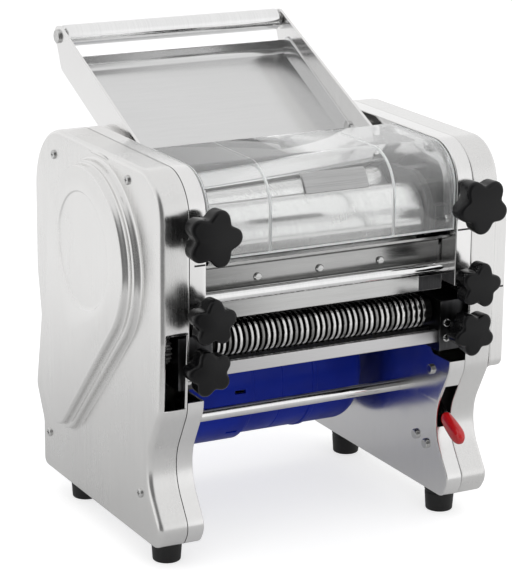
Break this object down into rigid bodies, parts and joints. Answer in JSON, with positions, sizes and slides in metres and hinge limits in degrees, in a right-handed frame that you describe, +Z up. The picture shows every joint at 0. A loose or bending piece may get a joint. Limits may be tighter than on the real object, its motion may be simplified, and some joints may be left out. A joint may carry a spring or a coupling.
{
  "type": "pasta maker",
  "caption": "Tabletop electric pasta maker with two steel dough rollers, a noodle cutter, a clear curved guard, a sloping dough tray and a motor between its side housings.",
  "frame": {"origin": "on the table, at the middle of the machine's overall box", "axes": "+Z up; -Y is the front, where the knobs are and the noodles come out; +X is the user's right"},
  "size_m": [0.385, 0.39, 0.455],
  "materials": {
    "brushed_cover": "brushed",
    "polished_panel": "polished",
    "chrome_rod": "polished",
    "steel_fixing": "satin",
    "inner_steel": "satin",
    "roller_steel": "satin",
    "gear_steel": "machined",
    "deck_grey": "satin",
    "clear_guard": "clear",
    "plate_steel": "brushed",
    "cutter_dark": "satin",
    "comb_plastic": "matte",
    "block_grey": "satin",
    "bar_aluminium": "satin",
    "black_rubber": "matte",
    "black_plastic": "satin",
    "red_plastic": "gloss",
    "blue_paint": "satin",
    "cast_grey": "cast"
  },
  "bodies": {
    "frame": {"left_outer_cover": "brushed_cover", "right_outer_cover": "brushed_cover", "right_side_box": "brushed_cover", "left_inner_shell": "polished_panel", "right_inner_shell": "polished_panel", "cover_screws": "steel_fixing", "panel_blocks": "inner_steel", "rubber_feet": "black_rubber", "foot_fixings": "steel_fixing", "tie_rods": "chrome_rod", "front_bar": "chrome_rod", "frame_bolts": "steel_fixing", "domed_bolts": "steel_fixing", "front_screws": "steel_fixing", "rear_bearing_blocks": "inner_steel", "deck_plate": "deck_grey", "scrapers": "inner_steel", "guide_plate": "inner_steel", "roller_cheeks": "comb_plastic", "guard_sheet": "clear_guard", "guard_ribs": "clear_guard", "nameplate": "plate_steel", "tray_arms": "polished_panel", "tray_pan": "polished_panel", "tray_axle": "steel_fixing", "idler_shaft": "steel_fixing", "cutter_end_blocks": "block_grey", "cutter_front_bar": "bar_aluminium", "cutter_combs": "comb_plastic", "drive_belt": "black_rubber", "motor_flange": "cast_grey", "motor_fan_cover": "blue_paint", "motor_body": "blue_paint", "motor_end_bell": "blue_paint", "switch_body": "black_plastic", "cable_gland": "black_plastic", "back_plate": "inner_steel", "motor_shield": "inner_steel"},
    "rear_roller_unit": {"rear_roller": "roller_steel", "rear_roller_gear": "gear_steel", "big_pulley": "cast_grey"},
    "gap_blocks": {"front_bearing_blocks": "inner_steel"},
    "front_roller_unit": {"front_roller": "roller_steel", "front_roller_gear": "gear_steel"},
    "idler": {"idler_gear": "gear_steel"},
    "rear_cutter_unit": {"rear_cutter": "cutter_dark", "rear_cutter_gears": "gear_steel"},
    "front_cutter_unit": {"front_cutter": "cutter_dark", "front_cutter_gear": "gear_steel"},
    "rotor": {"motor_rotor": "inner_steel", "motor_pulley": "cast_grey"},
    "tray_roller": {"tray_guide_roller": "roller_steel"},
    "switch": {"switch_lever": "steel_fixing", "lever_grip": "red_plastic"},
    "top_left_knob_body": {"top_left_knob": "black_plastic"},
    "top_right_knob_body": {"top_right_knob": "black_plastic"},
    "middle_left_knob_body": {"middle_left_knob": "black_plastic"},
    "middle_right_knob_body": {"middle_right_knob": "black_plastic"},
    "lower_left_knob_body": {"lower_left_knob": "black_plastic"},
    "lower_right_knob_body": {"lower_right_knob": "black_plastic"}
  },
  "joints": [
    {"name": "rear_roller_spin", "type": "hinge", "parent": "frame", "child": "rear_roller_unit", "pos_m": [0, -0.026, 0.298], "axis": [1, 0, 0], "continuous": true},
    {"name": "gap_slide", "type": "slide", "parent": "frame", "child": "gap_blocks", "axis": [0, -1, 0], "range_m": [0, 0.0025]},
    {"name": "front_roller_spin", "type": "hinge", "parent": "gap_blocks", "child": "front_roller_unit", "pos_m": [0, -0.092, 0.298], "axis": [1, 0, 0], "continuous": true},
    {"name": "idler_spin", "type": "hinge", "parent": "frame", "child": "idler", "pos_m": [0, -0.06415, 0.24661], "axis": [1, 0, 0], "continuous": true},
    {"name": "rear_cutter_spin", "type": "hinge", "parent": "frame", "child": "rear_cutter_unit", "pos_m": [0, -0.097, 0.213], "axis": [1, 0, 0], "continuous": true},
    {"name": "front_cutter_spin", "type": "hinge", "parent": "frame", "child": "front_cutter_unit", "pos_m": [0, -0.127, 0.213], "axis": [1, 0, 0], "continuous": true},
    {"name": "rotor_spin", "type": "hinge", "parent": "frame", "child": "rotor", "pos_m": [0, 0.044, 0.119], "axis": [1, 0, 0], "continuous": true},
    {"name": "tray_roller_spin", "type": "hinge", "parent": "frame", "child": "tray_roller", "pos_m": [0, 0.184, 0.444], "axis": [1, 0, 0], "continuous": true},
    {"name": "top_left_knob_turn", "type": "hinge", "parent": "frame", "child": "top_left_knob_body", "pos_m": [-0.139, -0.18, 0.3256], "axis": [0, 1, 0], "range_deg": [0, 450]},
    {"name": "top_right_knob_turn", "type": "hinge", "parent": "frame", "child": "top_right_knob_body", "pos_m": [0.139, -0.18, 0.3256], "axis": [0, 1, 0], "range_deg": [0, 450]},
    {"name": "middle_left_knob_turn", "type": "hinge", "parent": "frame", "child": "middle_left_knob_body", "pos_m": [-0.139, -0.18, 0.249], "axis": [0, 1, 0], "continuous": true},
    {"name": "middle_right_knob_turn", "type": "hinge", "parent": "frame", "child": "middle_right_knob_body", "pos_m": [0.139, -0.18, 0.249], "axis": [0, 1, 0], "continuous": true},
    {"name": "lower_left_knob_turn", "type": "hinge", "parent": "frame", "child": "lower_left_knob_body", "pos_m": [-0.139, -0.18, 0.2005], "axis": [0, 1, 0], "continuous": true},
    {"name": "lower_right_knob_turn", "type": "hinge", "parent": "frame", "child": "lower_right_knob_body", "pos_m": [0.139, -0.18, 0.2005], "axis": [0, 1, 0], "continuous": true},
    {"name": "lever_hinge", "type": "hinge", "parent": "frame", "child": "switch", "pos_m": [0.1395, -0.11, 0.119], "axis": [-1, 0, 0], "range_deg": [0, 25]}
  ],
  "couplings": [
    {"joint": "front_roller_spin", "follows": "rear_roller_spin", "ratio": -1},
    {"joint": "idler_spin", "follows": "rear_roller_spin", "ratio": -1.0645},
    {"joint": "rear_cutter_spin", "follows": "rear_roller_spin", "ratio": 2.0625},
    {"joint": "front_cutter_spin", "follows": "rear_roller_spin", "ratio": -2.0625},
    {"joint": "rotor_spin", "follows": "rear_roller_spin", "ratio": 2.9},
    {"joint": "top_left_knob_turn", "follows": "gap_slide", "rad_per_m": 3141.6},
    {"joint": "top_right_knob_turn", "follows": "gap_slide", "rad_per_m": 3141.6}
  ]
}
